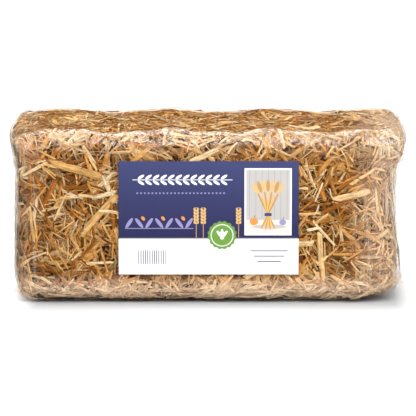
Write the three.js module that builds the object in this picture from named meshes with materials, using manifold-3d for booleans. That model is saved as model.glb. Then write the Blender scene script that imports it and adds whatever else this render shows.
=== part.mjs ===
// A decorative straw bale: a small block of chopped barley straw, pressed to shape and shrink-wrapped in clear
// film, with a paper label on its front. Millimetres, +Z up, +X to the right of someone who faces the label,
// and the label looks along -Y. The origin is at the middle of the underside.
import * as THREE from "three";
import { mergeVertices } from "three/addons/utils/BufferGeometryUtils.js";
import Module from "manifold-3d";

const wasm = await Module();
wasm.setup();

// The wrapped bale: 13 x 5 x 6 inches, with soft edges.
const BALE_LENGTH = 330;
const BALE_DEPTH = 127;
const BALE_HEIGHT = 150;
const EDGE_RADIUS = 15;

// The ends are drawn in between these shares of the height, and the top is longer than the base.
const WAIST_DEPTH = { left: 1.5, right: 6 };
const WAIST_SHARES = { start: 0.08, deep: 0.5, leave: 0.66, end: 0.92 };
const TOP_FLARE = 5;
const FLARE_SHARES = { start: 0.72, full: 0.95 };
// The right-hand end of the underside lifts off the table.
const CORNER_LIFT = 8;
const CORNER_LIFT_LENGTH = 42;
// Even steps of the form's grid between its rounded edges.
const GRID_STEPS = { x: 10, y: 3, z: 4 };
// Lumps of the straw that show through the film.
const LUMP_HEIGHT = 2.3;
const LUMP_LENGTH = 86;
const BROAD_LUMPS = { share: 0.75, start: 0.9, rise: 0.6 };
const FINE_LUMPS = { share: 0.45, start: 1.3, along: 2.3, up: 2, across: 1.9 };
// Past the label's edges the surface stays flat for the first distance and is fully lumpy from the second.
const LUMP_FADE = [15, 34];

// The film is drawn thicker than the real 0.03 mm, and everything keeps a small gap to its neighbours.
const FILM_THICKNESS = 0.5;
const GAP = 0.35;
const FIN_THICKNESS = 0.8;
const FIN_WIDTH = 4;
const FIN_ROOT = 3;
const FIN_START = 12;
const FIN_END_SHARE = 0.06;
const FIN_ROUNDING = 0.4;
const SEAM_HEIGHT = 1.6;
const SEAM_FROM_BACK = 26;
const SEAM_STEPS = 14;
const EAR_LENGTH = 11;
const EAR_RADIUS = 6;
const EAR_FLATNESS = 0.22;
const EAR_SIDES = 8;
const EAR_LEAN = { y: 0.35, z: 0.45 };
const EAR_ROOT = { x: 0.55, y: 0.7, top: 0.7, bottom: 0.9 };
const VENT_RADIUS = 3;
const VENT_SPACING = 180;
const VENT_SIDES = 16;

// The label: a flat card whose lower edge is this far above the table.
const LABEL_WIDTH = 153;
const LABEL_HEIGHT = 98;
const LABEL_THICKNESS = 0.4;
const LABEL_BOTTOM = 26.5;
const LABEL_MIDDLE_X = 0.5;

// Chopped straw fused on the pressed block, and the broad split stems that lie loose on it.
const STRAW_RELIEF = 4.4;
const CHOPPED_PER_FACE = { front: 42, back: 35, top: 27, bottom: 4, left: 15, right: 14 };
const CHOPPED_LENGTH = [22, 56];
const CHOPPED_WIDTH = [4, 9];
const CHOPPED_RIDGE = 2.6;
const CHOPPED_DEPTH = [2.8, 3.6];
const CHOPPED_TILT = 0.04;
const CHOPPED_ROLL = 0.25;
const BROAD_PER_FACE = { front: 14, back: 10, top: 8, left: 4, right: 4 };
const BROAD_LENGTH = [26, 52];
const BROAD_WIDTH = [4, 7];
const BROAD_THICKNESS = 0.9;
const BROAD_CURL = 0.8;
const BROAD_DEPTH = 2.2;
const BROAD_MARGIN = 14;
const PLACING_TRIES = 400;

const SEED = 20417;

const straw = new THREE.MeshStandardMaterial({ color: 0xb98b4f, roughness: 0.85, metalness: 0 });
const paleStraw = new THREE.MeshStandardMaterial({ color: 0xd9b477, roughness: 0.7, metalness: 0 });
const film = new THREE.MeshStandardMaterial({
  color: 0xf4f1ea,
  roughness: 0.15,
  metalness: 0,
  transparent: true,
  opacity: 0.22,
});
const paper = new THREE.MeshStandardMaterial({ color: 0x4a4f8c, roughness: 0.5, metalness: 0 });

// A repeatable random number from 0 to 1.
function randomSource(seed) {
  let state = seed;
  return () => {
    state = (state + 0x6d2b79f5) | 0;
    let t = Math.imul(state ^ (state >>> 15), 1 | state);
    t = (t + Math.imul(t ^ (t >>> 7), 61 | t)) ^ t;
    return ((t ^ (t >>> 14)) >>> 0) / 4294967296;
  };
}

const random = randomSource(SEED);
const between = ([low, high]) => low + (high - low) * random();
const smooth = THREE.MathUtils.smoothstep;

// How far the end face on one side, -1 or 1, stands out from half the bale's length at height z.
function endBulge(z, side) {
  const depth = side < 0 ? WAIST_DEPTH.left : WAIST_DEPTH.right;
  const share = THREE.MathUtils.clamp(z / BALE_HEIGHT, 0, 1);
  const drawnIn = smooth(share, WAIST_SHARES.start, WAIST_SHARES.deep);
  const released = smooth(share, WAIST_SHARES.leave, WAIST_SHARES.end);
  const flared = smooth(share, FLARE_SHARES.start, FLARE_SHARES.full);
  return TOP_FLARE * flared - depth * drawnIn * (1 - released);
}

// 0 where the surface has to stay flat, under the label and on the underside, and 1 elsewhere.
function lumpShare(p, normal) {
  const beside = Math.abs(p.x - LABEL_MIDDLE_X) - LABEL_WIDTH / 2;
  const aboveOrBelow = Math.abs(p.z - LABEL_BOTTOM - LABEL_HEIGHT / 2) - LABEL_HEIGHT / 2;
  const outsideLabel = smooth(Math.max(beside, aboveOrBelow), ...LUMP_FADE);
  const onFront = Math.max(0, -normal.y);
  const onUnderside = Math.max(0, -normal.z);
  return (1 - onFront * (1 - outsideLabel)) * (1 - onUnderside);
}

function lump(p) {
  const turn = (2 * Math.PI) / LUMP_LENGTH;
  const broad = Math.sin(turn * p.x + BROAD_LUMPS.start) * Math.cos(turn * (p.y + BROAD_LUMPS.rise * p.z));
  const alongWave = Math.sin(turn * (FINE_LUMPS.along * p.x + FINE_LUMPS.up * p.z));
  const acrossWave = Math.sin(turn * FINE_LUMPS.across * (p.z - p.y) + FINE_LUMPS.start);
  return LUMP_HEIGHT * (BROAD_LUMPS.share * broad + FINE_LUMPS.share * alongWave * acrossWave);
}

// Grid lines across one axis of the box: one at each rounded edge, and even steps between them.
function gridLines(half, steps) {
  const core = half - EDGE_RADIUS;
  const inner = Array.from({ length: steps + 1 }, (_, i) => -core + (2 * core * i) / steps);
  return [-half, ...inner, half];
}

// The wrapped bale's outer form, or the same form moved inwards by inset. Every inset has the same grid, so the
// facets of two insets are parallel and never cross.
function baleForm(inset) {
  const half = new THREE.Vector3(BALE_LENGTH / 2, BALE_DEPTH / 2, BALE_HEIGHT / 2);
  const core = half.clone().subScalar(EDGE_RADIUS);
  const lines = ["x", "y", "z"].map((axis) => gridLines(half[axis], GRID_STEPS[axis]));
  const geometry = new THREE.BoxGeometry(2, 2, 2, lines[0].length - 1, lines[1].length - 1, lines[2].length - 1);
  const position = geometry.getAttribute("position");
  const axes = ["x", "y", "z"];
  const p = new THREE.Vector3();
  for (let i = 0; i < position.count; i++) {
    p.fromBufferAttribute(position, i);
    axes.forEach((axis, k) => {
      const steps = lines[k].length - 1;
      p[axis] = lines[k][Math.round(((p[axis] + 1) / 2) * steps)];
    });
    const nearest = p.clone().clamp(core.clone().negate(), core);
    const normal = p.clone().sub(nearest).normalize();
    p.copy(nearest).addScaledVector(normal, EDGE_RADIUS);
    p.z += half.z;
    const out = lump(p) * lumpShare(p, normal) - inset;
    const share = p.x / half.x;
    p.x += share * endBulge(p.z, share);
    const lift = smooth(p.x, half.x - CORNER_LIFT_LENGTH, half.x) * (1 - smooth(p.z, 0, BALE_HEIGHT / 2));
    p.addScaledVector(normal, out);
    p.z += CORNER_LIFT * lift;
    position.setXYZ(i, p.x, p.y, p.z);
  }
  return geometry;
}

// The middle of each face, and the directions along it and out of it.
const FACES = {
  front: { along: [1, 0, 0], up: [0, 0, 1], out: [0, -1, 0], size: [BALE_LENGTH, BALE_HEIGHT], depth: BALE_DEPTH },
  back: { along: [-1, 0, 0], up: [0, 0, 1], out: [0, 1, 0], size: [BALE_LENGTH, BALE_HEIGHT], depth: BALE_DEPTH },
  top: { along: [1, 0, 0], up: [0, 1, 0], out: [0, 0, 1], size: [BALE_LENGTH, BALE_DEPTH], depth: BALE_HEIGHT },
  bottom: { along: [1, 0, 0], up: [0, -1, 0], out: [0, 0, -1], size: [BALE_LENGTH, BALE_DEPTH], depth: BALE_HEIGHT },
  left: { along: [0, -1, 0], up: [0, 0, 1], out: [-1, 0, 0], size: [BALE_DEPTH, BALE_HEIGHT], depth: BALE_LENGTH },
  right: { along: [0, 1, 0], up: [0, 0, 1], out: [1, 0, 0], size: [BALE_DEPTH, BALE_HEIGHT], depth: BALE_LENGTH },
};

// A frame whose X runs along a straw, Y across it and Z out of the bale, at a place on one face.
function strawFrame(face, across, upwards, depth, turn, tilt) {
  const { along, up, out, depth: thick } = FACES[face];
  const frame = new THREE.Matrix4().makeBasis(
    new THREE.Vector3(...along),
    new THREE.Vector3(...up),
    new THREE.Vector3(...out),
  );
  const middle = new THREE.Vector3(0, 0, BALE_HEIGHT / 2);
  const height = middle.z + across * along[2] + upwards * up[2];
  const bulge = out[0] ? endBulge(height, out[0]) : 0;
  const outwards = new THREE.Vector3(...out);
  middle.addScaledVector(new THREE.Vector3(...along), across);
  middle.addScaledVector(new THREE.Vector3(...up), upwards);
  middle.addScaledVector(outwards, thick / 2);
  const rise = lump(middle) * lumpShare(middle, outwards);
  middle.addScaledVector(outwards, bulge + rise - depth);
  return frame
    .setPosition(middle)
    .multiply(new THREE.Matrix4().makeRotationZ(turn))
    .multiply(new THREE.Matrix4().makeRotationY(tilt));
}

// A closed geometry as a solid that can be joined and cut, and back again.
function toSolid(geometry) {
  const bare = geometry.clone();
  bare.deleteAttribute("normal");
  bare.deleteAttribute("uv");
  const merged = mergeVertices(bare, 1e-4);
  const indices = merged.index ? merged.index.array : [...Array(merged.getAttribute("position").count).keys()];
  return new wasm.Manifold(
    new wasm.Mesh({
      numProp: 3,
      vertProperties: new Float32Array(merged.getAttribute("position").array),
      triVerts: new Uint32Array(indices),
    }),
  );
}

function toGeometry(solid) {
  const { vertProperties, triVerts } = solid.getMesh();
  const geometry = new THREE.BufferGeometry();
  geometry.setAttribute("position", new THREE.BufferAttribute(vertProperties, 3));
  geometry.setIndex(new THREE.BufferAttribute(triVerts, 1));
  const flat = geometry.toNonIndexed();
  flat.computeVertexNormals();
  return flat;
}

// The largest connected piece of a solid, without the crumbs that a cut can leave.
function mainPiece(solid) {
  return solid.decompose().reduce((a, b) => (b.volume() > a.volume() ? b : a));
}

// The section of a split stem, curled up at both sides like a shallow gutter.
function splitStem(length, width, thickness, curl) {
  const half = width / 2;
  const section = new THREE.Shape([
    new THREE.Vector2(-half, curl),
    new THREE.Vector2(0, 0),
    new THREE.Vector2(half, curl),
    new THREE.Vector2(half, curl + thickness),
    new THREE.Vector2(0, thickness),
    new THREE.Vector2(-half, curl + thickness),
  ]);
  const stem = new THREE.ExtrudeGeometry(section, { depth: length, bevelEnabled: false });
  stem.translate(0, -thickness / 2, -length / 2);
  stem.rotateX(Math.PI / 2);
  stem.rotateZ(Math.PI / 2);
  return stem;
}

// A chopped straw, half sunk in the block: a prism with its ridge outwards.
function choppedStem(length, width) {
  const section = new THREE.Shape([
    new THREE.Vector2(-width / 2, -CHOPPED_RIDGE / 2),
    new THREE.Vector2(width / 2, -CHOPPED_RIDGE / 2),
    new THREE.Vector2(0, CHOPPED_RIDGE / 2),
  ]);
  const stem = new THREE.ExtrudeGeometry(section, { depth: length, bevelEnabled: false });
  stem.translate(0, 0, -length / 2);
  stem.rotateX(Math.PI / 2);
  return stem.rotateZ(Math.PI / 2);
}

function chipOnFace(face) {
  const { size } = FACES[face];
  const chip = choppedStem(between(CHOPPED_LENGTH), between(CHOPPED_WIDTH));
  chip.rotateX((random() - 0.5) * 2 * CHOPPED_ROLL);
  const across = (random() - 0.5) * (size[0] - EDGE_RADIUS);
  const upwards = (random() - 0.5) * (size[1] - EDGE_RADIUS);
  const depth = FILM_THICKNESS + GAP + between(CHOPPED_DEPTH);
  const turn = random() * Math.PI;
  const tilt = (random() - 0.5) * 2 * CHOPPED_TILT;
  return chip.applyMatrix4(strawFrame(face, across, upwards, depth, turn, tilt));
}

// The broad stems, placed at random where they don't touch one another, each with the bed that it lies in.
function layBroadStems(limit) {
  const stems = [];
  for (const [face, count] of Object.entries(BROAD_PER_FACE)) {
    const { size } = FACES[face];
    for (let made = 0, tries = 0; made < count && tries < PLACING_TRIES; tries++) {
      const length = between(BROAD_LENGTH);
      const width = between(BROAD_WIDTH);
      const turn = random() * Math.PI;
      const reachAcross = size[0] / 2 - BROAD_MARGIN - (length / 2) * Math.abs(Math.cos(turn));
      const reachUp = size[1] / 2 - BROAD_MARGIN - (length / 2) * Math.abs(Math.sin(turn));
      const across = (random() * 2 - 1) * reachAcross;
      const upwards = (random() * 2 - 1) * reachUp;
      const depth = FILM_THICKNESS + GAP + BROAD_DEPTH;
      const frame = strawFrame(face, across, upwards, depth, turn, 0);
      const solid = toSolid(splitStem(length, width, BROAD_THICKNESS, BROAD_CURL).applyMatrix4(frame));
      const bedHeight = BROAD_DEPTH + STRAW_RELIEF;
      const bed = new THREE.BoxGeometry(length + 2 * GAP, width + 2 * GAP, bedHeight);
      bed.translate(0, 0, bedHeight / 2 - BROAD_THICKNESS / 2 - GAP);
      const bedSolid = toSolid(bed.applyMatrix4(frame));
      const clear = stems.every((other) => other.bedSolid.intersect(bedSolid).volume() === 0);
      if (!clear || solid.subtract(limit).volume() > 0) continue;
      made++;
      stems.push({ name: `broad_straw_${face}_${String(made).padStart(2, "0")}`, solid, bedSolid });
    }
  }
  return stems;
}

function pressedStraw(limit, stems) {
  const block = toSolid(baleForm(FILM_THICKNESS + GAP + STRAW_RELIEF));
  const chips = [];
  for (const [face, count] of Object.entries(CHOPPED_PER_FACE)) {
    for (let i = 0; i < count; i++) chips.push(toSolid(chipOnFace(face)));
  }
  const heap = wasm.Manifold.union([block, ...chips]).intersect(limit);
  const beds = wasm.Manifold.union(stems.map((stem) => stem.bedSolid));
  return mainPiece(heap.subtract(beds));
}

// A flat strip of welded film in the XZ plane, between an inner and an outer edge.
function weldedStrip(innerEdge, outerEdge) {
  const outline = new THREE.Shape([...innerEdge, ...outerEdge.slice().reverse()]);
  const strip = new THREE.ExtrudeGeometry(outline, { depth: FIN_THICKNESS, bevelEnabled: false });
  strip.translate(0, 0, -FIN_THICKNESS / 2);
  strip.rotateX(Math.PI / 2);
  return strip;
}

// The fin up one end, where the film's two layers are welded and trimmed. side is -1 or 1.
function endFin(side) {
  const inner = [];
  const outer = [];
  const from = FIN_START;
  const to = BALE_HEIGHT - from;
  for (let i = 0; i <= SEAM_STEPS; i++) {
    const share = i / SEAM_STEPS;
    const z = from + (to - from) * share;
    const wall = BALE_LENGTH / 2 + endBulge(z, side);
    const roundShare = FIN_END_SHARE + (1 - 2 * FIN_END_SHARE) * share;
    const width = FIN_WIDTH * Math.sin(Math.PI * roundShare) ** FIN_ROUNDING;
    const lift = side > 0 ? CORNER_LIFT * (1 - smooth(z, 0, BALE_HEIGHT / 2)) : 0;
    inner.push(new THREE.Vector2(side * (wall - FIN_ROOT), z + lift));
    outer.push(new THREE.Vector2(side * (wall + width), z + lift));
  }
  return weldedStrip(inner, outer);
}

// The low bead of the long weld, which runs along the top near the back.
function topSeam() {
  const inner = [];
  const outer = [];
  const reach = BALE_LENGTH / 2 - EDGE_RADIUS / 2;
  const y = BALE_DEPTH / 2 - SEAM_FROM_BACK;
  for (let i = 0; i <= SEAM_STEPS; i++) {
    const x = -reach + (2 * reach * i) / SEAM_STEPS;
    const z = BALE_HEIGHT + lump(new THREE.Vector3(x, y, BALE_HEIGHT));
    inner.push(new THREE.Vector2(x, z - FIN_ROOT));
    outer.push(new THREE.Vector2(x, z + SEAM_HEIGHT));
  }
  return weldedStrip(inner, outer).translate(0, y, 0);
}

// A dog ear of spare film at a corner: a flattened cone that points out of it.
function filmEar(sideX, sideY, sideZ) {
  const ear = new THREE.ConeGeometry(EAR_RADIUS, EAR_LENGTH, EAR_SIDES);
  ear.scale(1, 1, EAR_FLATNESS);
  ear.translate(0, EAR_LENGTH / 2, 0);
  const out = new THREE.Vector3(sideX, EAR_LEAN.y * sideY, EAR_LEAN.z * sideZ).normalize();
  ear.applyQuaternion(new THREE.Quaternion().setFromUnitVectors(new THREE.Vector3(0, 1, 0), out));
  const z = sideZ > 0 ? BALE_HEIGHT - EDGE_RADIUS * EAR_ROOT.top : EDGE_RADIUS * EAR_ROOT.bottom;
  const lift = sideX > 0 && sideZ < 0 ? CORNER_LIFT : 0;
  const x = BALE_LENGTH / 2 + endBulge(z, sideX) - EDGE_RADIUS * EAR_ROOT.x;
  const y = BALE_DEPTH / 2 - EDGE_RADIUS * EAR_ROOT.y;
  return ear.translate(sideX * x, sideY * y, z + lift);
}

function ventHole(x) {
  const hole = new THREE.CylinderGeometry(VENT_RADIUS, VENT_RADIUS, 2 * EDGE_RADIUS, VENT_SIDES);
  return hole.translate(x, BALE_DEPTH / 2, BALE_HEIGHT / 2);
}

function filmWrap() {
  const extras = [endFin(-1), endFin(1), topSeam()];
  for (const sideX of [-1, 1]) {
    extras.push(filmEar(sideX, 1, 1), filmEar(sideX, -1, -1));
  }
  const outside = wasm.Manifold.union([baleForm(0), ...extras].map(toSolid));
  const vents = wasm.Manifold.union([-1, 1].map((side) => toSolid(ventHole((side * VENT_SPACING) / 2))));
  return mainPiece(outside.subtract(toSolid(baleForm(FILM_THICKNESS))).subtract(vents));
}

function paperLabel() {
  const card = new THREE.BoxGeometry(LABEL_WIDTH, LABEL_THICKNESS, LABEL_HEIGHT);
  const y = -BALE_DEPTH / 2 - GAP - LABEL_THICKNESS / 2;
  return card.translate(LABEL_MIDDLE_X, y, LABEL_BOTTOM + LABEL_HEIGHT / 2);
}

function addPiece(group, name, geometry, material) {
  const mesh = new THREE.Mesh(geometry, material);
  mesh.name = name;
  group.add(mesh);
}

const bale = new THREE.Group();
const wrapped = new THREE.Group();
const strawLimit = toSolid(baleForm(FILM_THICKNESS + GAP));
const broadStems = layBroadStems(strawLimit);
addPiece(wrapped, "pressed_straw", toGeometry(pressedStraw(strawLimit, broadStems)), straw);
for (const stem of broadStems) addPiece(wrapped, stem.name, toGeometry(stem.solid), paleStraw);
addPiece(wrapped, "film_wrap", toGeometry(filmWrap()), film);
addPiece(wrapped, "paper_label", paperLabel(), paper);

// The origin goes to the middle of the underside of the whole.
const reach = new THREE.Box3().setFromObject(wrapped);
const middle = reach.getCenter(new THREE.Vector3());
wrapped.position.set(-middle.x, -middle.y, -reach.min.z);
bale.add(wrapped);

export default bale;
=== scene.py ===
import math

import bpy
import numpy as np
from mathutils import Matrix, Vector, noise


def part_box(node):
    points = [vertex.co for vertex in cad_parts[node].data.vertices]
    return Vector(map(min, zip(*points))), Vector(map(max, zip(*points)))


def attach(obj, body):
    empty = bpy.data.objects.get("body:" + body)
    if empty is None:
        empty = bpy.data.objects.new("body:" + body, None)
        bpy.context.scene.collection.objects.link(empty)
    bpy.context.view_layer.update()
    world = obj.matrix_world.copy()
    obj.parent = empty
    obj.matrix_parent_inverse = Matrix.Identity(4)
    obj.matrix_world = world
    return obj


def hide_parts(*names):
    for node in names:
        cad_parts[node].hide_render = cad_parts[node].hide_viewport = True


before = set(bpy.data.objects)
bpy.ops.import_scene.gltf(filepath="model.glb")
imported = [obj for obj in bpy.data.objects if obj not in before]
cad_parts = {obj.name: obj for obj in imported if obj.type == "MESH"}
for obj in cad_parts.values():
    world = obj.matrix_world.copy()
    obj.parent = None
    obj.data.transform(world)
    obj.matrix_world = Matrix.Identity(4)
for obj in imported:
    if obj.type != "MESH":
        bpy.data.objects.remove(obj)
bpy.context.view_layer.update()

# The camera stands where the photographer's did, square to the label and a little above the bale.
# The long lens keeps the bale's upright edges nearly parallel.
CAMERA_ELEVATION = math.radians(11.4)
CAMERA_DISTANCE = 3.2
CAMERA_LENS = 319.5
CAMERA_AIM = Vector((0.0, 0.0, 0.0712))

camera_data = bpy.data.cameras.new("camera")
camera_data.lens = CAMERA_LENS
camera_data.sensor_width = 36.0
camera = bpy.data.objects.new("camera", camera_data)
camera_back = Vector((0.0, -math.cos(CAMERA_ELEVATION), math.sin(CAMERA_ELEVATION)))
camera.location = CAMERA_AIM + camera_back * CAMERA_DISTANCE
camera.rotation_euler = camera_back.to_track_quat("Z", "Y").to_euler()
bpy.context.scene.collection.objects.link(camera)
bpy.context.scene.camera = camera
bpy.context.scene.view_settings.view_transform = "Standard"


# The studio: a strip of light over the bale, whose reflection runs along the film's top front edge, a large
# softbox above the camera, and a white room that fills the shadows and isn't mirrored in the film.
LIGHTS = {
    "strip_light": {"place": (-0.12, 0.12, 0.95), "size": (0.9, 0.4), "power": 6.4, "aim": (0.0, 0.0, 0.15)},
    "softbox": {"place": (0.5, -1.35, 1.35), "size": (1.9, 1.7), "power": 59.0, "aim": (0.0, 0.0, 0.07)},
}
ROOM_LIGHT = 0.22

for light_name, values in LIGHTS.items():
    light_data = bpy.data.lights.new(light_name, "AREA")
    light_data.shape = "RECTANGLE"
    light_data.size, light_data.size_y = values["size"]
    light_data.energy = values["power"]
    light = bpy.data.objects.new(light_name, light_data)
    light.location = values["place"]
    light_back = Vector(values["place"]) - Vector(values["aim"])
    light.rotation_euler = light_back.to_track_quat("Z", "Y").to_euler()
    bpy.context.scene.collection.objects.link(light)

room = bpy.data.worlds.new("white_room")
bpy.context.scene.world = room
room.use_nodes = True
room_light = room.node_tree.nodes["Background"]
room_light.inputs["Color"].default_value = (1.0, 1.0, 1.0, 1.0)
room_light.inputs["Strength"].default_value = ROOM_LIGHT
room.cycles_visibility.glossy = False


# The table: a seamless white sheet, flat under the bale and curved up far behind it. It glows with painted
# light, more with the distance from the bale, which leaves a painted shadow under and beside it. The round
# white wall about it is only seen, and gives no light.
SHEET_WIDTH = 16.0
SHEET_FRONT = -8.0
SHEET_BACK = 4.4
SHEET_CURVE = 2.4
SHEET_HEIGHT = 8.0
SHEET_STEPS = 24
SHEET_COLOUR = (0.52, 0.53, 0.54, 1.0)
# The two parts of its painted light: the distance over which each grows, and how strong it gets.
SHEET_PAINTED_LIGHTS = ((0.06, 0.6), (1.3, 0.45))
ZERO_VECTOR = (0.0, 0.0, 0.0)
# The painted light grows with the distance from an oblong of painted shadow under the bale. These steps turn
# a place into that distance.
SHADE_STEPS = (
    ("SUBTRACT", (0.007, 0.0, 0.0)),
    ("ABSOLUTE", ZERO_VECTOR),
    ("SUBTRACT", (0.153, 0.0635, 0.0)),
    ("MAXIMUM", ZERO_VECTOR),
    ("MULTIPLY", (3.0, 1.0, 1.0)),
    ("LENGTH", ZERO_VECTOR),
)
WALL_RADIUS = 14.0
WALL_SIDES = 48
WALL_HEIGHTS = (-1.0, 12.0)


def put_node(tree, kind, inputs=None, **settings):
    """Adds a node, with its settings, and with a value or another node's output on each named input."""
    made = tree.nodes.new(kind)
    for key, value in settings.items():
        setattr(made, key, value)
    for socket, value in (inputs or {}).items():
        if isinstance(value, bpy.types.NodeSocket):
            tree.links.new(value, made.inputs[socket])
        else:
            made.inputs[socket].default_value = value
    return made


def put_maths(tree, operation, first, second=0.0, third=0.0, clamp=False):
    inputs = {0: first, 1: second, 2: third}
    return put_node(tree, "ShaderNodeMath", inputs, operation=operation, use_clamp=clamp).outputs[0]


def put_product(tree, product, *factors):
    for factor in factors:
        product = put_maths(tree, "MULTIPLY", product, factor)
    return product


def put_range(tree, value, start, end, low=0.0, high=1.0):
    """Maps start to low and end to high, and holds the result between them."""
    return put_node(tree, "ShaderNodeMapRange", {0: value, 1: start, 2: end, 3: low, 4: high}).outputs[0]


def put_vector_maths(tree, operation, first, second=ZERO_VECTOR):
    made = put_node(tree, "ShaderNodeVectorMath", {0: first, 1: second}, operation=operation)
    return made.outputs["Value" if operation == "LENGTH" else "Vector"]


def put_noise(tree, place, scale, detail=2.0, roughness=0.5):
    inputs = {"Vector": place, "Scale": scale, "Detail": detail, "Roughness": roughness}
    return put_node(tree, "ShaderNodeTexNoise", inputs).outputs["Fac"]


def put_mix(tree, share, below, above):
    return put_node(tree, "ShaderNodeMix", {0: share, 6: below, 7: above}, data_type="RGBA").outputs[2]


def put_parts(tree, vector):
    return put_node(tree, "ShaderNodeSeparateXYZ", {0: vector}).outputs


def put_bump(tree, height, distance, strength=1.0):
    inputs = {"Height": height, "Distance": distance, "Strength": strength}
    return put_node(tree, "ShaderNodeBump", inputs).outputs["Normal"]


def new_material(name):
    """An empty material, with its node tree, its output's socket and the place on the object."""
    material = bpy.data.materials.new(name)
    material.use_nodes = True
    tree = material.node_tree
    tree.nodes.clear()
    surface = tree.nodes.new("ShaderNodeOutputMaterial").inputs["Surface"]
    return material, tree, surface, put_node(tree, "ShaderNodeTexCoord").outputs["Object"]


def put_object(name, mesh):
    """An object at the origin, with its place in its mesh."""
    made = bpy.data.objects.new(name, mesh)
    bpy.context.scene.collection.objects.link(made)
    return made


def worked_out(source, name):
    """What the source's modifiers make of it, as a new object. The source is removed."""
    evaluated = source.evaluated_get(bpy.context.evaluated_depsgraph_get())
    mesh = bpy.data.meshes.new_from_object(evaluated)
    mesh.name = name
    bpy.data.objects.remove(source)
    return put_object(name, mesh)


def mesh_object(name, points, faces, material=None):
    mesh = bpy.data.meshes.new(name)
    mesh.from_pydata(np.asarray(points).tolist(), [], [list(face) for face in faces])
    mesh.update()
    if material:
        mesh.materials.append(material)
    return put_object(name, mesh)


def shade_smooth(mesh):
    mesh.polygons.foreach_set("use_smooth", [True] * len(mesh.polygons))


def loft(rings):
    """A closed body through rings of points, each ring a closed section."""
    rings = np.asarray(rings)
    steps, count = rings.shape[:2]
    faces = []
    for ring in range(steps - 1):
        for i in range(count):
            a = ring * count + i
            b = ring * count + (i + 1) % count
            faces.append((a, b, b + count, a + count))
    faces.append(tuple(reversed(range(count))))
    faces.append(tuple(range((steps - 1) * count, steps * count)))
    return rings.reshape(-1, 3), faces


def white_sheet():
    profile = [(SHEET_FRONT, 0.0)]
    for i in range(SHEET_STEPS + 1):
        turn = 0.5 * math.pi * i / SHEET_STEPS
        profile.append((SHEET_BACK + SHEET_CURVE * math.sin(turn), SHEET_CURVE * (1 - math.cos(turn))))
    profile.append((SHEET_BACK + SHEET_CURVE, SHEET_HEIGHT))
    points = [(side * SHEET_WIDTH / 2, y, z) for y, z in profile for side in (-1, 1)]
    faces = [(2 * i, 2 * i + 1, 2 * i + 3, 2 * i + 2) for i in range(len(profile) - 1)]
    material, tree, surface, place = new_material("white_sheet")
    paint = put_node(tree, "ShaderNodeBsdfDiffuse", {"Color": SHEET_COLOUR})
    # Painted light on the sheet, fading out near the bale to leave a painted shadow under and beside it.
    away = place
    for operation, values in SHADE_STEPS:
        away = put_vector_maths(tree, operation, away, values)
    painted_light_parts = [put_range(tree, away, 0.0, reach, 0.0, strength) for reach, strength in SHEET_PAINTED_LIGHTS]
    glow = put_node(tree, "ShaderNodeEmission", {"Strength": put_maths(tree, "ADD", *painted_light_parts)})
    both = put_node(tree, "ShaderNodeAddShader", {0: paint.outputs[0], 1: glow.outputs[0]})
    tree.links.new(both.outputs[0], surface)
    sheet = mesh_object("white_sheet", points, faces, material)
    shade_smooth(sheet.data)
    sheet.visible_glossy = False


def white_wall():
    turns = np.linspace(0, 2 * math.pi, WALL_SIDES, endpoint=False)
    points = [(WALL_RADIUS * math.cos(t), WALL_RADIUS * math.sin(t), z) for z in WALL_HEIGHTS for t in turns]
    faces = []
    for i in range(WALL_SIDES):
        after = (i + 1) % WALL_SIDES
        faces.append((i, i + WALL_SIDES, after + WALL_SIDES, after))
    material, tree, surface, _ = new_material("white_wall")
    glow = put_node(tree, "ShaderNodeEmission", {"Strength": 1.0})
    tree.links.new(glow.outputs[0], surface)
    wall = mesh_object("white_wall", points, faces, material)
    wall.visible_diffuse = False
    wall.visible_glossy = False
    wall.visible_shadow = False


white_sheet()
white_wall()


# The heart of the bale: pressed straw that shows only as a lumpy bed between the outer stems. Its dark brown
# is painted shade, for the shade in the gaps. Its form is the wrapped bale's: a box with soft edges, drawn
# in at the waist of its ends, longer at the top, lifted at the right-hand end of its underside, and flat
# under the label.
BALE_LENGTH = 0.330
BALE_DEPTH = 0.127
BALE_HEIGHT = 0.150
EDGE_RADIUS = 0.015
WAIST_DEPTH = {-1: 0.0015, 1: 0.006}
WAIST_SHARES = {"start": 0.08, "deep": 0.5, "leave": 0.66, "end": 0.92}
TOP_FLARE = 0.005
FLARE_SHARES = {"start": 0.72, "full": 0.95}
CORNER_LIFT = 0.008
CORNER_LIFT_LENGTH = 0.042
LUMP_HEIGHT = 0.0023
LUMP_LENGTH = 0.086
LUMP_FADE = (0.015, 0.034)
LABEL_STAND_OFF = 0.00075
LABEL_BOTTOM = 0.0265
LABEL_MIDDLE_X = 0.0005
# Towards the ends the straw stands back from the slack film by this much, except near the top.
END_SLACK = {-1: 0.0002, 1: 0.0012}
SLACK_REACH = 0.03
SLACK_HEIGHTS = (0.112, 0.134)
EDGE_STEPS = 5
HEART_INSET = 0.0085
HEART_STEP = 0.004
HEART_ROUGHNESS = 0.0016
HEART_ROUGHS_PER_METRE = 260
HEART_CLUMPS_PER_METRE = 420.0
# Painted shade: the heart's dark browns stand in for the shade in the gaps between the outer stems.
HEART_SHADE_TONES = ((0.35, (0.018, 0.006, 0.002, 1.0)), (0.7, (0.10, 0.038, 0.010, 1.0)))

HALF = np.array([BALE_LENGTH, BALE_DEPTH, BALE_HEIGHT]) / 2
CORE = HALF - EDGE_RADIUS
label_low, label_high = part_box("paper_label")
label_size = label_high - label_low
form_shift = np.array([
    (label_low.x + label_high.x) / 2 - LABEL_MIDDLE_X,
    label_low.y + BALE_DEPTH / 2 + LABEL_STAND_OFF,
    label_low.z - LABEL_BOTTOM,
])


def smooth(value, low, high):
    share = np.clip((value - low) / (high - low), 0, 1)
    return share * share * (3 - 2 * share)


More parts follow.
